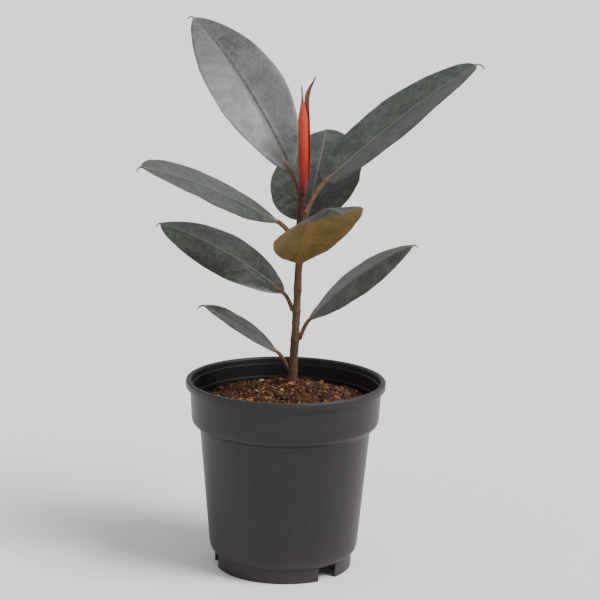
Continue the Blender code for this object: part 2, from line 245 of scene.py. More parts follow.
class Finish(Graph):
    """A material with its Principled shader."""

    def __init__(self, name, specular=0.5, roughness=0.5):
        self.material = bpy.data.materials.new(name)
        self.material.use_nodes = True
        super().__init__(self.material.node_tree)
        self.shader = self.tree.nodes["Principled BSDF"]
        self.shader.inputs["Specular IOR Level"].default_value = specular
        self.shader.inputs["Roughness"].default_value = roughness

    def feed(self, **values):
        for socket, value in values.items():
            self.set(self.shader.inputs[socket.replace("_", " ").title()], value)

    def place(self):
        return self.add("ShaderNodeTexCoord", output="Object")

    def attribute(self, name, output="Vector"):
        return self.add("ShaderNodeAttribute", {"attribute_name": name}, output=output)

    def stretch(self, vector, x, y, z):
        kind = {"operation": "MULTIPLY"}
        return self.add("ShaderNodeVectorMath", kind, {0: vector, 1: (x, y, z)})

    def cloud(self, vector, scale, detail=3.0, roughness=0.55):
        inputs = {"Vector": vector, "Scale": scale, "Detail": detail, "Roughness": roughness}
        return self.add("ShaderNodeTexNoise", {}, inputs)

    def cells(self, vector, scale, feature="F1", output="Distance"):
        kind = {"feature": feature}
        return self.add("ShaderNodeTexVoronoi", kind, {"Vector": vector, "Scale": scale}, output)

    def ramp(self, factor, stops):
        return self.add("ShaderNodeValToRGB", {"stops": stops}, {0: factor})

    def relief(self, height, depth, strength=1.0):
        """Fine relief, as a Bump node on the shader's Normal."""
        inputs = {"Height": height, "Distance": depth, "Strength": strength}
        self.feed(normal=self.add("ShaderNodeBump", {}, inputs))


print("material helper ready")

# %% [markdown]
# ## Finish: moulded pot plastic
#
# The pot is recycled black polypropylene, so it is a soft charcoal and not a pure black. The mould
# leaves a fine grain, handling leaves dull scuffs, and potting leaves a trace of dust low down and
# along the lip. Noise at three sizes gives these, from the object's own coordinates.

# %% Pot plastic


def pot_plastic():
    finish = Finish("pot_plastic", specular=0.38)
    place = finish.place()
    _, _, height = place.split()
    grain = finish.cloud(place, 2600.0, 2.0)
    cloudy = finish.cloud(place, 38.0, 4.0)
    streaks = finish.cloud(finish.stretch(place, 1.0, 1.0, 0.16), 210.0, 4.0, 0.65)
    scuff = (finish.cloud(place, 330.0, 5.0, 0.7) * 1.25 - 0.22).smooth(0.50, 0.66)
    low_dust = (1.0 - height.smooth(0.0, 0.030)) * 0.35
    lip_dust = height.smooth(0.1215, 0.1243) * 0.30
    pale_patches = ((low_dust + lip_dust) * (cloudy * 0.6 + streaks * 0.7)).clamp()
    tone = finish.ramp(cloudy * 0.6 + streaks * 0.4, [
        (0.30, (0.0080, 0.0062, 0.0088)),
        (0.52, (0.0110, 0.0088, 0.0122)),
        (0.70, (0.0165, 0.0135, 0.0175)),
    ])
    tone = finish.mix_colour(pale_patches, tone, (0.070, 0.056, 0.050))
    tone = finish.mix_colour(scuff * 0.12, tone, (0.050, 0.046, 0.050))
    roughness = 0.40 + cloudy * 0.08 + pale_patches * 0.25 + scuff * 0.07
    finish.feed(base_color=tone, roughness=roughness)
    finish.relief(grain * 0.6 + streaks * 0.4, 0.00006, 0.55)
    return finish.material


plastic = pot_plastic()
print("made", plastic.name)

# %% [markdown]
# ## The pot
#
# An injection-moulded pot is a turned shape, so its outline is drawn once and a Screw modifier turns
# it. The outline starts in the middle of the floor, climbs the inside over two small ledges, crosses
# the rounded lip and comes down the outside. Corners are arcs, because moulded plastic has no sharp
# edge. The three drain notches and holes are then cut with Booleans, as the mould's cores do.

# %% The pot's outline
RIM_RADIUS = 0.0650
POT_HEIGHT = 0.1244
LIP_BOTTOM = 0.1197
LIP_INNER_RADIUS = 0.0615
BAND_TOP_RADIUS = 0.0622
BAND_BOTTOM_RADIUS = 0.0610
BAND_BOTTOM = 0.0965
BODY_TOP_RADIUS = 0.0556
BODY_TOP = 0.0925
BODY_BOTTOM_RADIUS = 0.0486
BODY_BOTTOM = 0.0130
SHOULDER_RADIUS = 0.0464
FOOT_RADIUS = 0.0449
FOOT_HEIGHT = 0.0100
FOOT_WALL = 0.0018
WALL = 0.0014
BOSS_RADIUS = 0.0110
NOTCH_AZIMUTHS = (-50, 70, 190)
NOTCH_WIDTH = 0.0142
NOTCH_HEIGHT = 0.0092
NOTCH_DEPTH = 0.0120
DRAIN_RADIUS = 0.0040
DRAIN_CIRCLE_RADIUS = 0.0330


def rounded(points, arcs=5):
    """An outline of (radius, height, corner size) with each corner turned into an arc."""
    path = []
    for i, (r, z, size) in enumerate(points):
        here = Vector((r, z))
        if size == 0 or i in (0, len(points) - 1):
            path.append(here)
            continue
        before = Vector(points[i - 1][:2]) - here
        after = Vector(points[i + 1][:2]) - here
        start = here + before.normalized() * min(size, before.length * 0.48)
        end = here + after.normalized() * min(size, after.length * 0.48)
        for j in range(arcs + 1):
            t = j / arcs
            path.append(start * (1 - t) ** 2 + here * 2 * t * (1 - t) + end * t * t)
    return path


def pot_outline():
    floor = FOOT_HEIGHT + WALL
    edge = 0.0005
    inner_foot = FOOT_RADIUS - FOOT_WALL
    return rounded([
        (0, WALL, 0),
        (BOSS_RADIUS - WALL, WALL, 0.001),
        (BOSS_RADIUS, floor, 0.001),
        (SHOULDER_RADIUS - WALL, floor, 0.0015),
        (BODY_BOTTOM_RADIUS - WALL, BODY_BOTTOM + WALL, 0.001),
        (BODY_TOP_RADIUS - WALL, BODY_TOP, 0.002),
        (BAND_BOTTOM_RADIUS - WALL, BAND_BOTTOM, 0.003),
        (0.0595, 0.1115, 0.0002),
        (0.0602, 0.1118, 0.0002),
        (0.0604, 0.1200, 0.0002),
        (0.0612, 0.1203, 0.0002),
        (LIP_INNER_RADIUS, POT_HEIGHT, 0.0014),
        (RIM_RADIUS, POT_HEIGHT, 0.0013),
        (RIM_RADIUS, LIP_BOTTOM, 0.0006),
        (BAND_TOP_RADIUS, LIP_BOTTOM, 0.0005),
        (BAND_BOTTOM_RADIUS, BAND_BOTTOM, 0.0034),
        (BODY_TOP_RADIUS + 0.0002, BODY_TOP + 0.0008, 0.0012),
        (BODY_TOP_RADIUS - 0.0003, BODY_TOP - 0.003, 0.001),
        (BODY_BOTTOM_RADIUS, BODY_BOTTOM + 0.0005, 0.003),
        (SHOULDER_RADIUS, FOOT_HEIGHT, 0.0008),
        (FOOT_RADIUS, FOOT_HEIGHT - 0.0003, 0.0004),
        (FOOT_RADIUS, 0, edge),
        (inner_foot, 0, edge),
        (inner_foot, FOOT_HEIGHT, edge),
        (BOSS_RADIUS + WALL, FOOT_HEIGHT, 0.001),
        (BOSS_RADIUS, 0, 0.0008),
        (0, 0, 0),
    ])


print("pot outline has", len(pot_outline()), "points")

# %% Turn the pot, then cut the drain notches and holes


def link(name, mesh):
    obj = bpy.data.objects.new(name, mesh)
    bpy.context.scene.collection.objects.link(obj)
    return obj


def bake(obj, name):
    """Replaces an object by the plain mesh that its modifiers make."""
    graph = bpy.context.evaluated_depsgraph_get()
    mesh = bpy.data.meshes.new_from_object(obj.evaluated_get(graph))
    mesh.name = name
    bpy.data.objects.remove(obj, do_unlink=True)
    return link(name, mesh)


def solid_cutter(make, **sizes):
    work = bmesh.new()
    make(work, **sizes)
    mesh = bpy.data.meshes.new("cutter")
    work.to_mesh(mesh)
    work.free()
    return link("cutter", mesh)


def make_pot():
    outline = pot_outline()
    mesh = bpy.data.meshes.new("pot_outline")
    edges = [(i, i + 1) for i in range(len(outline) - 1)]
    mesh.from_pydata([(p.x, 0, p.y) for p in outline], edges, [])
    pot = link("pot_turning", mesh)
    screw = pot.modifiers.new("turn", "SCREW")
    screw.steps = screw.render_steps = 160
    screw.use_merge_vertices = True
    screw.merge_threshold = 0.00001
    cutters = []
    for azimuth in NOTCH_AZIMUTHS:
        angle = math.radians(azimuth)
        notch = solid_cutter(bmesh.ops.create_cube, size=1)
        notch.scale = (NOTCH_DEPTH, NOTCH_WIDTH, 2 * NOTCH_HEIGHT)
        notch.location = (FOOT_RADIUS * math.cos(angle), FOOT_RADIUS * math.sin(angle), 0)
        notch.rotation_euler.z = angle
        drain = solid_cutter(
            bmesh.ops.create_cone, cap_ends=True, segments=40,
            radius1=DRAIN_RADIUS, radius2=DRAIN_RADIUS, depth=0.01,
        )
        out = DRAIN_CIRCLE_RADIUS
        drain.location = (out * math.cos(angle), out * math.sin(angle), FOOT_HEIGHT)
        cutters += [notch, drain]
    for cutter in cutters:
        modifier = pot.modifiers.new("cut", "BOOLEAN")
        modifier.operation = "DIFFERENCE"
        modifier.object = cutter
    pot = bake(pot, "growers_pot")
    for cutter in cutters:
        bpy.data.objects.remove(cutter, do_unlink=True)
    pot.data.shade_smooth()
    pot.data.set_sharp_from_angle(angle=math.radians(35))
    pot.data.materials.clear()
    pot.data.materials.append(plastic)
    return pot


pot = make_pot()
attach(pot, "root")
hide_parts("pot")
print(pot.name, len(pot.data.polygons), "faces")

# %% [markdown]
# ## Finish: potting mix
#
# The mix is damp dark peat below and dry tan coir on top, with a few orange bark crumbs and pale
# specks. Each crumb carries a number from 0 to 1, stored when it was scattered, and a colour ramp
# turns that number into one of these kinds.

# %% Potting mix


def potting_mix(name, crumbs):
    finish = Finish(name, specular=0.18)
    place = finish.place()
    fine = finish.cloud(place, 900.0, 5.0, 0.7)
    broad = finish.cloud(place, 120.0, 3.0)
    if crumbs:
        tint = finish.attribute("tint", "Fac")
        tone = finish.ramp(tint, [
            (0.00, (0.020, 0.010, 0.007)),
            (0.30, (0.055, 0.026, 0.015)),
            (0.62, (0.150, 0.078, 0.038)),
            (0.84, (0.290, 0.155, 0.072)),
            (0.93, (0.420, 0.180, 0.070)),
            (0.97, (0.520, 0.330, 0.200)),
            (1.00, (0.750, 0.640, 0.520)),
        ])
    else:
        tone = finish.ramp(broad * 0.5 + fine * 0.5, [
            (0.30, (0.012, 0.007, 0.005)),
            (0.52, (0.045, 0.021, 0.012)),
            (0.70, (0.110, 0.052, 0.027)),
        ])
    shade = finish.ramp(fine, [(0.30, (0.45, 0.43, 0.42)), (0.70, (1.25, 1.22, 1.20))])
    tone = finish.mix_colour(1.0, tone, shade, "MULTIPLY")
    finish.feed(base_color=tone, roughness=0.86 + fine * 0.12)
    finish.relief(fine, 0.0004, 0.8)
    return finish.material


bed_mix = potting_mix("potting_mix_bed", False)
crumb_mix = potting_mix("potting_mix_crumbs", True)
print("made", bed_mix.name, "and", crumb_mix.name)

# %% [markdown]
# ## The soil bed
#
# The soil is one mass: a mound where the rooted plug went in, falling to the wall of the pot. Its top
# is a disc of fine rings, lifted by the mound and by noise at three sizes, so the clods are real
# shape. Its side and bottom close it inside the pot.

# %% Soil bed
STEM_FOOT = Vector((0.0043, 0.0150))
SOIL_EDGE_HEIGHT = 0.1080
MOUND_HEIGHT = 0.0105
MOUND_SPREAD = 0.0290
SOIL_TOP_RADIUS = 0.0590


def soil_height(x, y):
    away = (Vector((x, y)) - STEM_FOOT).length / MOUND_SPREAD
    mound = SOIL_EDGE_HEIGHT + MOUND_HEIGHT * math.exp(-away * away)
    clods = 0.0
    for size, lift in ((0.016, 0.0016), (0.0065, 0.0011), (0.0026, 0.0007)):
        clods += lift * noise.noise(Vector((x / size, y / size, 3.7)))
    return mound + clods


def make_soil():
    work = bmesh.new()
    sides = 200
    around = [(math.cos(math.tau * i / sides), math.sin(math.tau * i / sides)) for i in range(sides)]
    rows = []
    rings = 66
    for j in range(1, rings + 1):
        r = SOIL_TOP_RADIUS * j / rings
        rows.append([work.verts.new((r * c, r * s, soil_height(r * c, r * s))) for c, s in around])
    for r, z in ((0.0592, 0.1000), (0.0574, 0.0960), (0.0538, 0.0927), (0.0467, 0.0147), (0.0430, 0.0118)):
        rows.append([work.verts.new((r * c, r * s, z)) for c, s in around])
    for inner, outer in zip(rows, rows[1:]):
        for i in range(sides):
            j = (i + 1) % sides
            work.faces.new((inner[i], outer[i], outer[j], inner[j]))
    middle = work.verts.new((0, 0, soil_height(0, 0)))
    bottom = work.verts.new((0, 0, 0.0118))
    for i in range(sides):
        j = (i + 1) % sides
        work.faces.new((middle, rows[0][i], rows[0][j]))
        work.faces.new((bottom, rows[-1][j], rows[-1][i]))
    bmesh.ops.recalc_face_normals(work, faces=work.faces)
    mesh = bpy.data.meshes.new("soil_bed")
    work.to_mesh(mesh)
    work.free()
    mesh.shade_smooth()
    mesh.materials.append(bed_mix)
    return link("soil_bed", mesh)


soil = make_soil()
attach(soil, "root")
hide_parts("soil")
print(soil.name, len(soil.data.polygons), "faces")

# %% [markdown]
# ## Geometry Nodes: a tree built in the script
#
# A tree needs named inputs, so that each use can have its own sizes. The helper below makes the group
# and its inputs, and a second one puts it on an object, sets the inputs by their identifiers, and
# turns the result into a plain mesh.

# %% Build and run a Geometry Nodes tree
SOCKET_TYPES = {
    float: "NodeSocketFloat",
    int: "NodeSocketInt",
    Vector: "NodeSocketVector",
    bpy.types.Material: "NodeSocketMaterial",
}


class Grower(Graph):
    """A Geometry Nodes group with named inputs, and ways to use its fields."""

    def __init__(self, name, inputs):
        tree = bpy.data.node_groups.new(name, "GeometryNodeTree")
        super().__init__(tree)
        face = tree.interface
        face.new_socket("Geometry", in_out="INPUT", socket_type="NodeSocketGeometry")
        for title, kind in inputs.items():
            face.new_socket(title, in_out="INPUT", socket_type=SOCKET_TYPES[kind])
        face.new_socket("Geometry", in_out="OUTPUT", socket_type="NodeSocketGeometry")
        self.source = tree.nodes.new("NodeGroupInput")
        self.target = tree.nodes.new("NodeGroupOutput")

    def __getitem__(self, title):
        return Socket(self, self.source.outputs[title])

    def store(self, geometry, name, value, kind="FLOAT"):
        settings = {"data_type": kind, "domain": "POINT"}
        inputs = {"Geometry": geometry, "Name": name, "Value": value}
        return self.add("GeometryNodeStoreNamedAttribute", settings, inputs)

    def chance(self, low, high, seed, kind="FLOAT"):
        inputs = {"Min": low, "Max": high, "Seed": seed}
        return self.add("FunctionNodeRandomValue", {"data_type": kind}, inputs)

    def end(self, geometry, material):
        geometry = self.add("GeometryNodeRealizeInstances", {}, {"Geometry": geometry})
        inputs = {"Geometry": geometry, "Material": material}
        geometry = self.add("GeometryNodeSetMaterial", {}, inputs)
        self.tree.links.new(geometry.plug, self.target.inputs[0])


def grow(name, grower, values, mesh=None):
    """Runs a tree on a mesh and gives back the plain mesh that it makes, as an object."""
    obj = link(name + "_seed", mesh or bpy.data.meshes.new(name))
    modifier = obj.modifiers.new("grow", "NODES")
    modifier.node_group = grower.tree
    for item in grower.tree.interface.items_tree:
        if item.in_out == "INPUT" and item.name in values:
            modifier[item.identifier] = values[item.name]
    obj.update_tag()
    return bake(obj, name)


print("geometry helper ready")

# %% [markdown]
# ## Crumbs, fibres and pale specks on the soil
#
# Loose mix is thousands of small pieces, which is work for Geometry Nodes: points are scattered on
# the top of the bed, a small ball stands on each, and noise on the realised points then makes every
# crumb a different shape. Fine crumbs have 20 faces each and the larger ones 80.

# %% A tree that scatters crumbs


def crumb_grower():
    graph = Grower("crumb_grower", {
        "Density": float, "Smallest": float, "Largest": float, "Detail": int,
        "Reach": float, "Seed": int, "Material": bpy.types.Material,
    })
    bed = Socket(graph, graph.source.outputs["Geometry"])
    x, y, z = graph.add("GeometryNodeInputPosition").split()
    radius = (x * x + y * y).math("SQRT")
    inside = radius.math("LESS_THAN", graph["Reach"])
    on_top = z.math("GREATER_THAN", 0.1040)
    points = graph.add("GeometryNodeDistributePointsOnFaces", {"distribute_method": "RANDOM"}, {
        "Mesh": bed, "Selection": inside * on_top, "Density": graph["Density"], "Seed": graph["Seed"],
    })
    ball = graph.add("GeometryNodeMeshIcoSphere", {}, {"Radius": 1.0, "Subdivisions": graph["Detail"]})
    size = graph.mix(graph.chance(0.0, 1.0, 11) ** 2.6, graph["Smallest"], graph["Largest"])
    shape = graph.vector(
        size * graph.chance(0.6, 1.3, 12), size * graph.chance(0.6, 1.3, 13), size * graph.chance(0.4, 0.9, 14),
    )
    turn = graph.chance((-0.7, -0.7, 0.0), (0.7, 0.7, math.tau), 15, "FLOAT_VECTOR")
    crumbs = graph.add("GeometryNodeInstanceOnPoints", {}, {
        "Points": points, "Instance": ball, "Rotation": turn, "Scale": shape,
    })
    tint = {"data_type": "FLOAT", "domain": "INSTANCE"}
    crumbs = graph.add("GeometryNodeStoreNamedAttribute", tint, {
        "Geometry": crumbs, "Name": "tint", "Value": graph.chance(0.0, 1.0, 16),
    })
    sized = {"data_type": "FLOAT", "domain": "INSTANCE"}
    crumbs = graph.add("GeometryNodeStoreNamedAttribute", sized, {
        "Geometry": crumbs, "Name": "crumb_size", "Value": size,
    })
    crumbs = graph.add("GeometryNodeRealizeInstances", {}, {"Geometry": crumbs})
    size_here = graph.add("GeometryNodeInputNamedAttribute", {"data_type": "FLOAT"}, {"Name": "crumb_size"})
    place = graph.add("GeometryNodeInputPosition")
    rough = graph.add("ShaderNodeTexNoise", {}, {"Vector": place, "Scale": 520.0, "Detail": 2.0}, "Color")
    push = (rough - Vector((0.5, 0.5, 0.5))) * (size_here * 2.4)
    crumbs = graph.add("GeometryNodeSetPosition", {}, {"Geometry": crumbs, "Offset": push})
    graph.end(crumbs, graph["Material"])
    return graph


crumbs_tree = crumb_grower()
print("crumb tree has", len(crumbs_tree.tree.nodes), "nodes")

# %% Scatter fine and coarse crumbs


def scatter(name, **values):
    values["Material"] = crumb_mix
    crumbs = grow(name, crumbs_tree, values, soil.data.copy())
    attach(crumbs, "root")
    print(name, len(crumbs.data.polygons), "faces")
    return crumbs


scatter("fine_crumbs", Density=420000.0, Smallest=0.0003, Largest=0.0009, Detail=1, Reach=0.0580, Seed=4)
scatter("coarse_crumbs", Density=95000.0, Smallest=0.0007, Largest=0.0021, Detail=2, Reach=0.0565, Seed=9)

# %% [markdown]
# ## Coir fibres
#
# Coir leaves short bent hairs on the surface. One bent curve with a thin round section is instanced
# with random turns and sizes.

# %% A tree that scatters fibres


def fibre_grower():
    graph = Grower("fibre_grower", {
        "Density": float, "Length": float, "Thickness": float, "Seed": int,
        "Material": bpy.types.Material,
    })
    bed = Socket(graph, graph.source.outputs["Geometry"])
    x, y, z = graph.add("GeometryNodeInputPosition").split()
    inside = (x * x + y * y).math("SQRT").math("LESS_THAN", 0.0520)
    on_top = z.math("GREATER_THAN", 0.1040)
    points = graph.add("GeometryNodeDistributePointsOnFaces", {"distribute_method": "RANDOM"}, {
        "Mesh": bed, "Selection": inside * on_top, "Density": graph["Density"], "Seed": graph["Seed"],
    })
    arc = graph.add("GeometryNodeCurvePrimitiveBezierSegment", {}, {
        "Resolution": 7, "Start": (-0.5, 0.0, -0.05), "Start Handle": (-0.2, 0.35, 0.25),
        "End Handle": (0.2, -0.25, 0.30), "End": (0.5, 0.1, -0.05),
    })
    arc = graph.add("GeometryNodeTransform", {}, {
        "Geometry": arc, "Scale": graph.vector(graph["Length"], graph["Length"], graph["Length"]),
    })
    section = graph.add("GeometryNodeCurvePrimitiveCircle", {}, {
        "Resolution": 5, "Radius": graph["Thickness"] * 0.5,
    })
    hair = graph.add("GeometryNodeCurveToMesh", {}, {
        "Curve": arc, "Profile Curve": section, "Fill Caps": True,
    })
    turn = graph.chance((-0.5, -0.35, 0.0), (0.5, 0.35, math.tau), 21, "FLOAT_VECTOR")
    hairs = graph.add("GeometryNodeInstanceOnPoints", {}, {
        "Points": points, "Instance": hair, "Rotation": turn, "Scale": graph.chance(0.45, 1.25, 22),
    })
    settings = {"data_type": "FLOAT", "domain": "INSTANCE"}
    hairs = graph.add("GeometryNodeStoreNamedAttribute", settings, {
        "Geometry": hairs, "Name": "tint", "Value": graph.chance(0.30, 0.92, 23),
    })
    hairs = graph.add("GeometryNodeSetPosition", {}, {"Geometry": hairs, "Offset": (0, 0, 0.0004)})
    graph.end(hairs, graph["Material"])
    return graph


fibres = grow("coir_fibres", fibre_grower(), {
    "Density": 26000.0, "Length": 0.0085, "Thickness": 0.00034, "Seed": 5, "Material": crumb_mix,
}, soil.data.copy())
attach(fibres, "root")
print(fibres.name, len(fibres.data.polygons), "faces")

# %% [markdown]
# ## Finish: leaf
#
# A dark rubber plant's leaf is thick and waxy. Its upper side is a greyed green with a pale midrib,
# many straight side veins and a thin wine-red margin. Its underside is ochre, and its stalk is
# brown-orange. The pattern follows the leaf, so it reads two attributes that the leaf's tree
# stores: how far across and along a point is and which side it is on, and its distances in metres.

# %% Leaf surface
VEIN_SPACING = 0.0046
VEIN_SLOPE = 0.50


def leaf_skin(name, gloss, upper_dark, upper_light, margin_width):
    finish = Finish(name, specular=0.5)
    across, along, upper = finish.attribute("leaf_uv").split()
    side_distance, rib_distance, seed = finish.attribute("leaf_metres").split()
    place = finish.place()
    off_rib = side_distance.math("ABSOLUTE")
    off_middle = across.math("ABSOLUTE")

    broad = finish.cloud(place, 70.0, 4.0, 0.6)
    mottle = finish.cloud(place, 420.0, 4.0, 0.65)
    pores = finish.cells(place, 2300.0)
    vein_line = rib_distance - off_rib * VEIN_SLOPE + (broad - 0.5) * 0.007
    wave = (vein_line * (math.pi / VEIN_SPACING)).math("SINE").math("ABSOLUTE")
    patchy = finish.cloud(place, 95.0, 3.0, 0.6).smooth(0.42, 0.62)
    vein = (1.0 - wave.smooth(0.0, 0.34)) * (1.0 - off_middle.smooth(0.80, 0.93)) * patchy
    minor = (vein_line * (math.pi / 0.0013)).math("SINE").math("ABSOLUTE")
    minor = (1.0 - minor.smooth(0.0, 0.7)) * 0.5

    tone = finish.ramp(broad * 0.55 + mottle * 0.45, [(0.36, upper_dark), (0.64, upper_light)])
    tone = finish.mix_colour(vein * 0.10, tone, (0.120, 0.135, 0.112))
    tone = finish.mix_colour(minor * 0.10, tone, (0.016, 0.020, 0.016))
    rib = (1.0 - off_rib.smooth(0.0002, 0.0009)) * (1.0 - along * 0.55)
    tone = finish.mix_colour(rib * 0.55, tone, (0.200, 0.212, 0.170))
    margin = off_middle.smooth(1.0 - margin_width, 1.0 - margin_width * 0.35)
    tone = finish.mix_colour(margin * 0.75, tone, (0.060, 0.026, 0.026))

    under = finish.ramp(broad * 0.5 + mottle * 0.5, [
        (0.32, (0.080, 0.050, 0.009)), (0.52, (0.130, 0.084, 0.018)), (0.70, (0.195, 0.132, 0.038)),
    ])
    under = finish.mix_colour(vein * 0.14, under, (0.210, 0.150, 0.060))
    under_rib = 1.0 - off_rib.smooth(0.0006, 0.0060)
    under = finish.mix_colour(under_rib * 0.40, under, (0.230, 0.145, 0.045))
    under = finish.mix_colour(margin * 0.5, under, (0.070, 0.034, 0.020))
    tone = finish.mix_colour(upper, under, tone)

    stalk = 1.0 - (along + (broad - 0.5) * 0.05).smooth(-0.03, 0.035)
    near_rib = 1.0 - off_rib.smooth(0.0008, 0.0030)
    stalk_tone = finish.ramp(mottle, [(0.35, (0.070, 0.028, 0.010)), (0.65, (0.175, 0.076, 0.026))])
    tone = finish.mix_colour((stalk + (1.0 - along.smooth(0.0, 0.16)) * near_rib * 0.55).clamp(), tone, stalk_tone)

    # Pale grey patches on the upper side: partly dust and partly painted sheen, standing in for patchy gloss. They
    # also make the surface a little rougher.
    pale_patches = finish.cloud(place, 105.0, 5.0, 0.7).smooth(0.44, 0.64)
    tone = finish.mix_colour(pale_patches * upper * 0.20, tone, (0.165, 0.172, 0.165))
    rough = gloss + pale_patches * 0.12 + mottle * 0.08 - vein * 0.03 + (1.0 - upper) * 0.14
    finish.feed(base_color=tone, roughness=rough)
    height = pores * 0.35 + mottle * 0.4 + vein * (0.5 - upper * 0.9) - minor * 0.30
    finish.relief(height, 0.00010, 0.75)
    return finish.material


old_leaf = leaf_skin("leaf_mature", 0.31, (0.014, 0.021, 0.015), (0.046, 0.060, 0.045), 0.028)
# A paler copy of the leaf finish for the youngest leaf: partly its own lighter young colour, and partly painted
# sheen for the grey gloss on it.
young_leaf_painted_sheen = leaf_skin("leaf_young", 0.33, (0.034, 0.040, 0.036), (0.086, 0.095, 0.088), 0.024)
print("made", old_leaf.name, "and", young_leaf_painted_sheen.name)

# %% [markdown]
# ## The leaf, grown by a tree
#
# A leaf's shape follows a rule. Its midrib starts from a stalk, rises, and droops as it runs on. Its
# half-width is a power of a sine, which gives the blunt ellipse of a rubber plant's leaf, and it ends
# in a narrow drip tip that hooks down. The tree below evaluates that rule on a grid: one direction
# runs along the leaf and the other across it. The blade's upper and lower skins are two copies of the
# grid, which meet at the margin and are merged there.

# %% The leaf's rule as a tree
BLADE_THICKNESS = 0.00075
STALK_SHARE = 0.12
ROWS = 200
COLUMNS = 53
STEPS = ROWS - 1
DEGREE = math.pi / 180


def heading(graph, azimuth, elevation):
    """A unit vector from two angles in radians."""
    flat = elevation.math("COSINE")
    return graph.vector(
        flat * azimuth.math("COSINE"), flat * azimuth.math("SINE"), elevation.math("SINE")
    )


def bezier_between(points, share):
    a, b, c, d = points
    rest = 1.0 - share
    return (
        a * (rest ** 3.0) + b * (rest * rest * share * 3.0)
        + c * (share * share * rest * 3.0) + d * (share ** 3.0)
    )


def midrib_angles(leaf, along, body):
    late = ((along - body) / (1.0 - body)).clamp()
    azimuth = leaf["Azimuth"] + leaf["Swing"] * along
    elevation = leaf["Rise"] - leaf["Droop"] * along + leaf["Arch"] * along * (1.0 - along) * 4.0
    return azimuth * DEGREE, (elevation - leaf["Hook"] * late) * DEGREE


def leaf_path(leaf, share, along, on_blade, body):
    """The midrib's points and its direction, over the stalk and the blade."""
    base_azimuth = leaf["Azimuth"] * DEGREE
    outward = heading(leaf, base_azimuth, base_azimuth * 0.0)
    start = leaf["Stem Point"] + outward * (leaf["Stem Radius"] - 0.0004)
    first_azimuth, first_rise = midrib_angles(leaf, along * 0.0, body)
    stalk_heading = heading(leaf, base_azimuth, leaf["Stalk Rise"] * DEGREE)
    blade_start = leaf["Stem Point"] + stalk_heading * leaf["Stalk"]
    first = heading(leaf, first_azimuth, first_rise)
    reach = leaf["Stalk"] * 0.33
    points = (start, leaf.mix(0.3, start, blade_start), blade_start - first * reach, blade_start)
    stalk_point = bezier_between(points, share)
    ahead = bezier_between(points, share + 0.01) - bezier_between(points, share - 0.01)
    ahead = leaf.add("ShaderNodeVectorMath", {"operation": "NORMALIZE"}, {0: ahead})

    half_step = 0.5 / STEPS / (1.0 - STALK_SHARE)
    azimuth, elevation = midrib_angles(leaf, along + half_step, body)
    step = heading(leaf, azimuth, elevation) * (leaf["Length"] / STEPS / (1.0 - STALK_SHARE)) * on_blade
    column = leaf.add("GeometryNodeInputPosition").split()[1] * (COLUMNS - 1)
    settings = {"data_type": "FLOAT_VECTOR", "domain": "POINT"}
    travelled = leaf.add("GeometryNodeAccumulateField", settings, {
        "Value": step, "Group ID": column.math("ROUND"),
    }, "Trailing")
    azimuth, elevation = midrib_angles(leaf, along, body)
    blade_heading = heading(leaf, azimuth, elevation)
    point = leaf.mix(on_blade, stalk_point, blade_start + travelled)
    return point, leaf.mix(on_blade, ahead, blade_heading), azimuth


print("midrib rule ready")

# %% The leaf's cross-section and its two skins


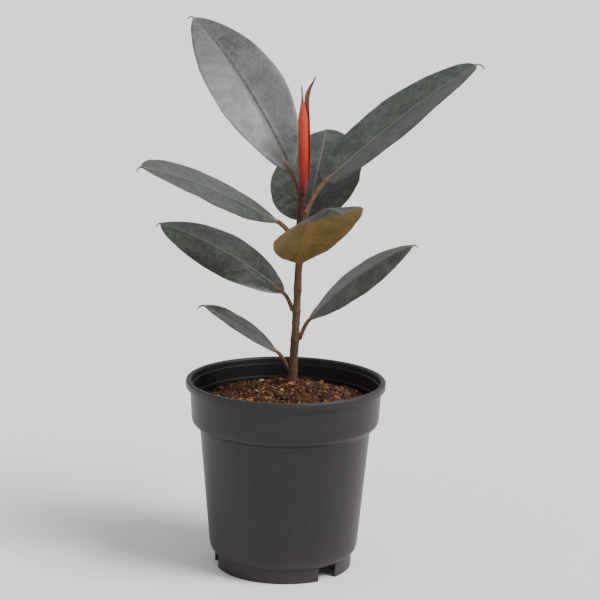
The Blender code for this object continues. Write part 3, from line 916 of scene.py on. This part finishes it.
def leaf_grower():
    numbers = (
        "Stem Radius", "Azimuth", "Stalk", "Stalk Radius", "Stalk Rise", "Rise", "Droop", "Length", "Width",
        "Roll", "Twist", "Swing", "Arch", "Fold", "Curl", "Widest", "Fullness", "Tip", "Hook",
        "Waviness", "Ripple", "Seed",
    )
    inputs = {"Stem Point": Vector, **{name: float for name in numbers}}
    leaf = Grower("leaf_grower", {**inputs, "Material": bpy.types.Material})
    grid = leaf.add("GeometryNodeMeshGrid", {}, {
        "Size X": 1.0, "Size Y": 1.0, "Vertices X": ROWS, "Vertices Y": COLUMNS,
    })
    grid_x, grid_y, _ = leaf.add("GeometryNodeInputPosition").split()
    down = grid_x + 0.5
    share = (down / STALK_SHARE).clamp()
    along = ((down - STALK_SHARE) / (1.0 - STALK_SHARE)).clamp()
    on_blade = down.math("GREATER_THAN", STALK_SHARE - 0.0001)
    body = 1.0 - leaf["Tip"] / leaf["Length"]
    point, ahead, azimuth = leaf_path(leaf, share, along, on_blade, body)

    spread = grid_y * 2.0
    across = spread - (spread * math.tau).math("SINE") * (0.75 / math.tau)
    roll = (leaf["Roll"] + leaf["Twist"] * along) * DEGREE * share
    flat_side = leaf.vector(-azimuth.math("SINE"), azimuth.math("COSINE"), 0.0)
    flat_normal = leaf.cross(ahead, flat_side)
    side = flat_side * roll.math("COSINE") + flat_normal * roll.math("SINE")
    normal = leaf.cross(ahead, side)

    swell = (along / body).clamp() ** leaf["Widest"]
    blade = leaf["Width"] * 0.5 * (swell * math.pi).math("SINE").math("MAXIMUM", 0.0) ** leaf["Fullness"]
    tip = (((1.0 - along) / (1.0 - body * 0.9)).clamp()) ** 0.8 * 0.0012
    early = (1.0 - along * 9.0).clamp()
    round_end = (share / 0.05).clamp() ** 0.5
    collar = (-((share / 0.16) ** 2.0)).math("EXPONENT") * 0.45
    stalk = leaf["Stalk Radius"] * (1.0 + collar) * round_end
    edge_wave = leaf.add("ShaderNodeTexNoise", {"noise_dimensions": "3D"}, {
        "Vector": leaf.vector(along * 7.0, across.math("SIGN"), leaf["Seed"]), "Scale": 1.0, "Detail": 1.0,
    })
    widened = blade * (1.0 + (edge_wave - 0.5) * 0.07)
    half_width = (widened * widened + tip * tip + (stalk * early) ** 2.0).math("SQRT")
    half_width = half_width * (1.0 - along.smooth(0.985, 1.0) * 0.6)
    half_width = half_width * (1.0 - along.math("GREATER_THAN", 0.9999))
    half_thick = (1.0 - along.smooth(0.96, 1.0) * 0.6) * (BLADE_THICKNESS / 2) * round_end

    off_middle = across.math("ABSOLUTE")
    roundness = 2.0 + (1.0 - early) * 22.0
    skin = (1.0 - off_middle ** roundness).math("MAXIMUM", 0.0).math("SQRT") * half_thick
    fold = leaf["Fold"] * DEGREE * (1.0 - early)
    x = across * half_width
    off_rib = x.math("ABSOLUTE")
    core = (stalk * stalk - x * x).math("MAXIMUM", 0.0).math("SQRT")
    core_top = core * early * early * early
    core_under = core * early
    raised = off_rib * fold.math("SINE") - off_middle * off_middle * leaf["Curl"] * (1.0 - early)
    wavy = leaf.add("ShaderNodeTexNoise", {"noise_dimensions": "3D"}, {
        "Vector": leaf.vector(along * 4.5, across * 0.8, leaf["Seed"] + 5.0), "Scale": 1.0, "Detail": 1.5,
    })
    raised = raised + (wavy - 0.5) * leaf["Waviness"] * (off_middle ** 1.4) * (1.0 - early)
    tapered = (1.0 - along).math("MAXIMUM", 0.0) ** 0.6
    vein_line = leaf["Length"] * along - off_rib * VEIN_SLOPE
    rippled = leaf.add("ShaderNodeTexNoise", {"noise_dimensions": "3D"}, {
        "Vector": leaf.vector(vein_line * 120.0, across.math("SIGN") * 3.0, leaf["Seed"]),
        "Scale": 1.0, "Detail": 2.0,
    })
    ripple = (rippled - 0.5) * off_middle * (1.0 - off_middle) * leaf["Ripple"]
    relief = ripple * (1.0 - early) * tapered
    groove = (-((off_rib / 0.0006) ** 2.0)).math("EXPONENT") * 0.00018
    shoulder = (-(((off_rib - 0.0020) / 0.0010) ** 2.0)).math("EXPONENT") * 0.00016
    sunk = (shoulder - groove) * tapered * (1.0 - early)
    rib = (-((off_rib / 0.0008) ** 2.0)).math("EXPONENT") * 0.0011 * tapered * (1.0 - early)

    centre_line = point + side * (x * fold.math("COSINE"))
    top = centre_line + normal * (raised + skin + core_top + sunk - relief)
    underside = centre_line + normal * (raised - skin - core_under - rib - relief)
    signed_along = along - (1.0 - share) * 0.2
    skins = []
    for is_top, place in ((1.0, top), (0.0, underside)):
        sheet = leaf.store(grid, "leaf_uv", leaf.vector(across, signed_along, is_top), "FLOAT_VECTOR")
        measures = leaf.vector(x, leaf["Length"] * along, leaf["Seed"])
        sheet = leaf.store(sheet, "leaf_metres", measures, "FLOAT_VECTOR")
        sheet = leaf.add("GeometryNodeSetPosition", {}, {"Geometry": sheet, "Position": place})
        if not is_top:
            sheet = leaf.add("GeometryNodeFlipFaces", {}, {"Mesh": sheet})
        skins.append(sheet)
    body_mesh = leaf.add("GeometryNodeJoinGeometry", {}, {"Geometry": skins})
    body_mesh = leaf.add("GeometryNodeMergeByDistance", {}, {"Geometry": body_mesh, "Distance": 0.000004})
    leaf.end(body_mesh, leaf["Material"])
    return leaf


leaf_tree = leaf_grower()
print("leaf tree has", len(leaf_tree.tree.nodes), "nodes")

# %% [markdown]
# ## Eight leaves
#
# The sizes repeat the model's own: where each stalk leaves the stem, which way it points, and how the
# blade rises and droops. Only what differs from an ordinary leaf is stated for each one.

# %% Sizes of the leaves
ORDINARY = dict(
    Roll=0, Twist=0, Swing=0, Arch=0, Fold=7, Curl=0.0, Widest=0.98, Fullness=0.68,
    Tip=0.006, Hook=60, Waviness=0.0022, Ripple=0.0040,
)
LEAVES = {
    "leaf_low_left": dict(
        Node=0.1265, Azimuth=193, Stalk=0.0170, StalkRise=50, Rise=38, Droop=10,
        Length=0.064, Width=0.026, Roll=-17, Twist=-3, Fold=5, Hook=105,
    ),
    "leaf_low_right": dict(
        Node=0.1475, Azimuth=1, Stalk=0.0160, StalkRise=56, Rise=50, Droop=27,
        Length=0.089, Width=0.043, Roll=13, Twist=3, Fold=-8, Widest=1.01, Fullness=0.72,
        Tip=0.005, Hook=95,
    ),
    "leaf_mid_left": dict(
        Node=0.1665, Azimuth=158, Stalk=0.0150, StalkRise=50, Rise=35, Droop=26,
        Length=0.102, Width=0.045, Roll=-19, Twist=-3, Swing=3, Arch=2, Fold=-6,
        Fullness=0.65, Tip=0.005, Hook=110,
    ),
    "leaf_front": dict(
        Node=0.1810, Azimuth=-80, Stalk=0.0215, StalkRise=64, Rise=55, Droop=72,
        Length=0.107, Width=0.060, Roll=11, Twist=5, Swing=12, Arch=10, Fold=-13,
        Widest=0.95, Fullness=0.71, Hook=60,
    ),
    "leaf_upper_left": dict(
        Node=0.2140, Azimuth=202, Stalk=0.0205, StalkRise=39, Rise=30, Droop=20,
        Length=0.118, Width=0.047, Roll=-25, Twist=-2, Swing=29, Arch=2, Fold=-2,
        Tip=0.007, Hook=90,
    ),
    "leaf_back": dict(
        Node=0.2225, Azimuth=76, Stalk=0.0170, StalkRise=5, Rise=45, Droop=28,
        Length=0.103, Width=0.061, Roll=-6, Swing=9, Fold=2, Widest=0.73, Fullness=0.57,
        Hook=40,
    ),
    "leaf_top_right": dict(
        Node=0.2305, Azimuth=23, Stalk=0.0270, StalkRise=51, Rise=39, Droop=10,
        Length=0.135, Width=0.051, Roll=12, Swing=-9, Arch=2, Widest=0.87,
        Fullness=0.44, Tip=0.008, Hook=110,
    ),
    "leaf_top_left": dict(
        Node=0.2405, Azimuth=144, Stalk=0.0198, StalkRise=60, Rise=59, Droop=20,
        Length=0.131, Width=0.052, Roll=-28, Twist=-3, Fold=8, Hook=105, Ripple=0.0015,
    ),
}
STEM = (
    (0.0700, 0.0038, 0.0150, 0.0012),
    (0.0850, 0.0040, 0.0150, 0.0022),
    (0.0980, 0.0042, 0.0150, 0.0034),
    (0.1120, 0.0043, 0.0150, 0.0036),
    (0.1250, 0.0045, 0.0150, 0.0031),
    (0.1380, 0.0049, 0.0145, 0.0028),
    (0.1480, 0.0055, 0.0140, 0.0030),
    (0.1570, 0.0058, 0.0140, 0.0026),
    (0.1660, 0.0061, 0.0140, 0.0028),
    (0.1750, 0.0064, 0.0140, 0.0025),
    (0.1820, 0.0066, 0.0135, 0.0027),
    (0.2000, 0.0069, 0.0130, 0.0023),
    (0.2140, 0.0072, 0.0130, 0.0025),
    (0.2300, 0.0076, 0.0130, 0.0026),
    (0.2430, 0.0087, 0.0130, 0.0023),
)


def stem_at(height):
    """The stem's axis and radius at a height."""
    for low, high in zip(STEM, STEM[1:]):
        if low[0] <= height <= high[0]:
            share = (height - low[0]) / (high[0] - low[0])
            _, x, y, radius = [a + share * (b - a) for a, b in zip(low, high)]
            return Vector((x, y, height)), radius
    raise ValueError(f"no stem at {height}")


print(len(LEAVES), "leaves to grow")

# %% Grow the leaves


def make_leaf(name, sizes, seed):
    values = {**ORDINARY, **sizes}
    point, radius = stem_at(values.pop("Node"))
    values["Stalk Rise"] = values.pop("StalkRise")
    values["Stalk Radius"] = 0.00055 + 0.0052 * values["Length"]
    values = {title: float(value) for title, value in values.items()}
    # The top-left leaf takes the paler copy of the finish, which is partly young colour and partly painted sheen.
    skin = young_leaf_painted_sheen if name == "leaf_top_left" else old_leaf
    values.update({"Stem Point": point, "Stem Radius": radius, "Seed": seed, "Material": skin})
    piece = grow(name + "_blade", leaf_tree, values)
    piece.data.shade_smooth()
    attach(piece, "root")
    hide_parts(name)
    print(piece.name, len(piece.data.polygons), "faces")
    return piece


leaves = [make_leaf(name, sizes, 1.7 * i + 0.3) for i, (name, sizes) in enumerate(LEAVES.items())]

# %% [markdown]
# ## Finish: bark
#
# A rubber plant's young stem is brown-green and woody at the foot, and turns red-brown near the
# growing tip. Small pale lenticels dot it. Height picks the colour, and stretched noise gives the
# streaks that run along the stem.

# %% Bark


def bark_finish():
    finish = Finish("stem_bark", specular=0.35)
    place = finish.place()
    _, _, height = place.split()
    streaks = finish.cloud(finish.stretch(place, 1.0, 1.0, 0.12), 1500.0, 4.0, 0.65)
    blotch = finish.cloud(place, 260.0, 4.0, 0.6)
    tall = (height + (blotch - 0.5) * 0.010).smooth(0.120, 0.245)
    tone = finish.ramp(tall, [
        (0.00, (0.100, 0.060, 0.030)),
        (0.35, (0.088, 0.066, 0.028)),
        (0.70, (0.070, 0.048, 0.020)),
        (0.86, (0.060, 0.024, 0.014)),
        (1.00, (0.066, 0.015, 0.011)),
    ])
    shade = finish.ramp(streaks, [(0.30, (0.50, 0.46, 0.42)), (0.70, (1.35, 1.32, 1.25))])
    tone = finish.mix_colour(1.0, tone, shade, "MULTIPLY")
    dots = finish.cells(finish.stretch(place, 1.0, 1.0, 0.55), 560.0)
    lenticel = (1.0 - dots.smooth(0.10, 0.22)) * (1.0 - height.smooth(0.20, 0.24))
    tone = finish.mix_colour(lenticel * 0.65, tone, (0.230, 0.165, 0.090))
    finish.feed(base_color=tone, roughness=0.60 + blotch * 0.2)
    finish.relief(streaks * 0.7 + lenticel * 0.8 + blotch * 0.3, 0.00025, 0.9)
    return finish.material


bark = bark_finish()
print("made", bark.name)

# %% [markdown]
# ## The stem
#
# The stem is a loft of rings along its axis, because its thickness changes all the time: it swells at
# each node, and every stipule that has fallen leaves a thin ring scar round it. Two older scars low
# down mark leaves that the plant has already dropped.

# %% Loft the stem


def smooth_path(points, steps):
    """Points along a smooth curve through the given tuples (Catmull-Rom)."""
    path = []
    for i in range(len(points) - 1):
        a = Vector(points[max(i - 1, 0)])
        b, c = Vector(points[i]), Vector(points[i + 1])
        d = Vector(points[min(i + 2, len(points) - 1)])
        for j in range(steps):
            t = j / steps
            path.append(0.5 * (
                2 * b + (c - a) * t + (2 * a - 5 * b + 4 * c - d) * t * t
                + (3 * b - a - 3 * c + d) * t ** 3
            ))
    path.append(Vector(points[-1]))
    return path


def skin_rings(name, rings, material, smooth=True):
    """A closed skin over rings of points, with a fan at each end."""
    work = bmesh.new()
    rows = [[work.verts.new(point) for point in ring] for ring in rings]
    sides = len(rows[0])
    for near, far in zip(rows, rows[1:]):
        for i in range(sides):
            j = (i + 1) % sides
            work.faces.new((near[i], near[j], far[j], far[i]))
    for row in (rows[0], rows[-1]):
        middle = work.verts.new(sum((v.co for v in row), Vector()) / sides)
        for i in range(sides):
            work.faces.new((row[i], row[(i + 1) % sides], middle))
    bmesh.ops.recalc_face_normals(work, faces=work.faces)
    mesh = bpy.data.meshes.new(name)
    work.to_mesh(mesh)
    work.free()
    if smooth:
        mesh.shade_smooth()
    mesh.materials.append(material)
    return link(name, mesh)


OLD_SCARS = (0.1395, 0.1585)


def stem_thickness(height, radius, angle):
    nodes = [sizes["Node"] for sizes in LEAVES.values()]
    extra = 0.0
    for node in nodes + list(OLD_SCARS):
        away = (height - node) / 0.0011
        extra += 0.00022 * math.exp(-away * away)
        scar = (height - node - 0.0022) / 0.00035
        extra += 0.00012 * math.exp(-scar * scar)
    grain = noise.noise(Vector((3 * math.cos(angle), 3 * math.sin(angle), height * 160)))
    ribs = noise.noise(Vector((7 * math.cos(angle), 7 * math.sin(angle), height * 45)))
    woody = max(0.0, min(1.0, (0.20 - height) / 0.08))
    return radius - 0.0001 + extra + (0.00010 * grain + 0.00016 * ribs) * (0.4 + 0.6 * woody)


def make_stem():
    rings = []
    sides = 30
    for height, x, y, radius in smooth_path(STEM, 24):
        ring = []
        for i in range(sides):
            angle = math.tau * i / sides
            thick = stem_thickness(height, radius, angle)
            ring.append(Vector((x + thick * math.cos(angle), y + thick * math.sin(angle), height)))
        rings.append(ring)
    return skin_rings("woody_stem", rings, bark)


stem = make_stem()
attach(stem, "root")
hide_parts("stem")
print(stem.name, len(stem.data.polygons), "faces")

# %% [markdown]
# ## The red sheath and the dry scale
#
# The next leaf is rolled up inside a red sheath, the plant's stipule. The sheath wraps round itself,
# so one long edge lies over the other. Beside it stands the last sheath's dried remnant, a thin brown
# scale with a curled edge.

# %% Sheath and scale finishes


def sheath_finish():
    finish = Finish("sheath_red", specular=0.35)
    place = finish.place()
    _, _, height = place.split()
    streaks = finish.cloud(finish.stretch(place, 1.0, 1.0, 0.06), 1500.0, 3.0, 0.6)
    blotch = finish.cloud(place, 170.0, 3.0)
    tall = height + (blotch - 0.5) * 0.006
    tone = finish.ramp((tall - 0.243) / 0.073, [
        (0.00, (0.060, 0.010, 0.008)),
        (0.10, (0.170, 0.013, 0.010)),
        (0.35, (0.430, 0.030, 0.014)),
        (0.62, (0.520, 0.050, 0.022)),
        (0.80, (0.480, 0.062, 0.030)),
        (0.88, (0.130, 0.026, 0.016)),
        (0.94, (0.035, 0.014, 0.010)),
        (1.00, (0.022, 0.012, 0.009)),
    ])
    shade = finish.ramp(streaks, [(0.30, (0.72, 0.66, 0.64)), (0.70, (1.22, 1.20, 1.18))])
    tone = finish.mix_colour(1.0, tone, shade, "MULTIPLY")
    finish.feed(base_color=tone, roughness=0.36 + blotch * 0.14)
    finish.relief(streaks, 0.00012, 0.7)
    return finish.material


def scale_finish():
    finish = Finish("dry_scale", specular=0.25)
    place = finish.place()
    _, _, height = place.split()
    streaks = finish.cloud(finish.stretch(place, 1.0, 1.0, 0.08), 1700.0, 4.0, 0.65)
    blotch = finish.cloud(place, 240.0, 3.0)
    tone = finish.ramp((height - 0.27) / 0.05 + (blotch - 0.5) * 0.3, [
        (0.00, (0.260, 0.050, 0.026)),
        (0.45, (0.300, 0.105, 0.060)),
        (0.70, (0.300, 0.140, 0.090)),
        (0.86, (0.110, 0.052, 0.034)),
        (1.00, (0.030, 0.016, 0.012)),
    ])
    shade = finish.ramp(streaks, [(0.30, (0.55, 0.52, 0.50)), (0.70, (1.30, 1.28, 1.25))])
    tone = finish.mix_colour(1.0, tone, shade, "MULTIPLY")
    finish.feed(base_color=tone, roughness=0.72 + blotch * 0.15)
    finish.relief(streaks, 0.00020, 0.9)
    return finish.material


sheath_red = sheath_finish()
dry_brown = scale_finish()
print("made", sheath_red.name, "and", dry_brown.name)

# %% Roll the sheath
SHEATH_BASE = Vector((0.0088, 0.0130, 0.2436))
SHEATH_BEND = Vector((0.0096, 0.0130, 0.2780))
SHEATH_TIP = Vector((0.0067, 0.0130, 0.3140))
SHEATH_RADIUS = 0.0034
SHEATH_FOOT_RADIUS = 0.0022
SHEATH_TAPER_SHARES = (0.66, 0.92)
SHEATH_TIP_SHARE = 0.15
SEAM = math.radians(-70)


def sheath_centre(share):
    rest = 1 - share
    return SHEATH_BASE * rest ** 2 + SHEATH_BEND * 2 * share * rest + SHEATH_TIP * share ** 2


def sheath_radius(share):
    swell = min(1, share / 0.2)
    body = SHEATH_FOOT_RADIUS + (SHEATH_RADIUS - SHEATH_FOOT_RADIUS) * math.sin(math.pi / 2 * swell)
    low, high = SHEATH_TAPER_SHARES
    taper = max(0, min(1, (share - low) / (high - low)))
    return body * (1 - (1 - SHEATH_TIP_SHARE) * taper * taper * (3 - 2 * taper))


def make_sheath():
    rings = []
    sides = 56
    rows = 130
    for i in range(rows + 1):
        share = i / rows
        centre = sheath_centre(share)
        radius = sheath_radius(share) * min(1, (1.004 - share) / 0.05) ** 0.5
        twist = SEAM + 1.5 * share
        ring = []
        for j in range(sides):
            turn = j / sides
            angle = twist + math.tau * turn
            lap = 0.13 * (turn - 0.5) * min(1, share / 0.12)
            rib = 0.018 * noise.noise(Vector((4 * math.cos(angle), 4 * math.sin(angle), share * 4)))
            here = radius * (1 - 0.05 + lap * 0.7 + rib)
            ring.append(centre + Vector((here * math.cos(angle), here * math.sin(angle), 0)))
        rings.append(ring)
    return skin_rings("rolled_sheath", rings, sheath_red)


sheath = make_sheath()
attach(sheath, "root")
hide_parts("bud_sheath")
print(sheath.name, len(sheath.data.polygons), "faces")

# %% Curl the dry scale
SCALE = (
    (0.2520, 0.0112, 0.0156, 0.0016),
    (0.2700, 0.0112, 0.0159, 0.0026),
    (0.2900, 0.0107, 0.0161, 0.0023),
    (0.3000, 0.0103, 0.0161, 0.0018),
    (0.3075, 0.0106, 0.0157, 0.0017),
    (0.3125, 0.0122, 0.0152, 0.0011),
    (0.3160, 0.0139, 0.0149, 0.0006),
    (0.3195, 0.0158, 0.0147, 0.0003),
)
SCALE_BEND_RADIUS = 0.0042
SCALE_AZIMUTH = math.radians(55)
SCALE_THICKNESS = 0.0004


def make_scale():
    """A strap along a smooth middle line: (height, x, y, half width), bent round the sheath."""
    rings = []
    facing = Vector((math.cos(SCALE_AZIMUTH), math.sin(SCALE_AZIMUTH), 0))
    for height, x, y, half_width in smooth_path(SCALE, 14):
        centre = Vector((x, y, height)) - facing * SCALE_BEND_RADIUS
        half_angle = half_width / SCALE_BEND_RADIUS
        free = max(0, min(1, (height - 0.298) / 0.010))
        ring = []
        for edge, layer in ((1, 0.0), (-1, SCALE_THICKNESS)):
            for k in range(13):
                across = edge * (k / 6 - 1)
                angle = SCALE_AZIMUTH + half_angle * across
                crimp = 0.0004 * noise.noise(Vector((across * 1.8, height * 260, 1.3)))
                here = SCALE_BEND_RADIUS + layer + 0.0001 + crimp * (0.2 + free)
                ring.append(centre + Vector((here * math.cos(angle), here * math.sin(angle), 0)))
        rings.append(ring)
    return skin_rings("dried_scale", rings, dry_brown)


scale = make_scale()
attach(scale, "root")
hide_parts("dry_stipule")
print(scale.name, len(scale.data.polygons), "faces")

# %% [markdown]
# ## Floor and light
#
# A plain pale floor and one very wide sun, high on the right, which draws the pot's bright side and
# greys the waxy leaf that faces it. A sun lights the whole floor alike. The sky is a pale even white,
# which keeps the shadows open.

# %% Floor, lights and sky


def make_floor():
    bpy.ops.mesh.primitive_plane_add(size=80.0)
    floor = bpy.context.object
    floor.name = "floor"
    finish = Finish("pale_floor", roughness=0.8, specular=0.1)
    finish.feed(base_color=(0.93, 0.91, 0.90))
    floor.data.materials.append(finish.material)
    return floor


def wide_sun(name, source, width, strength, colour):
    lamp = bpy.data.lights.new(name, "SUN")
    lamp.angle = math.radians(width)
    lamp.energy = strength
    lamp.color = colour
    obj = bpy.data.objects.new(name, lamp)
    bpy.context.scene.collection.objects.link(obj)
    obj.rotation_euler = (-Vector(source)).to_track_quat("-Z", "Y").to_euler()
    return obj


def make_sky(colour, strength):
    world = bpy.data.worlds.new("studio")
    world.use_nodes = True
    background = world.node_tree.nodes["Background"]
    background.inputs["Color"].default_value = (*colour, 1)
    background.inputs["Strength"].default_value = strength
    bpy.context.scene.world = world


make_floor()
wide_sun("key", (0.62, -0.30, 0.80), 30, 3.9, (1.0, 0.97, 0.96))
make_sky((0.95, 0.92, 0.97), 0.72)
print("lit")
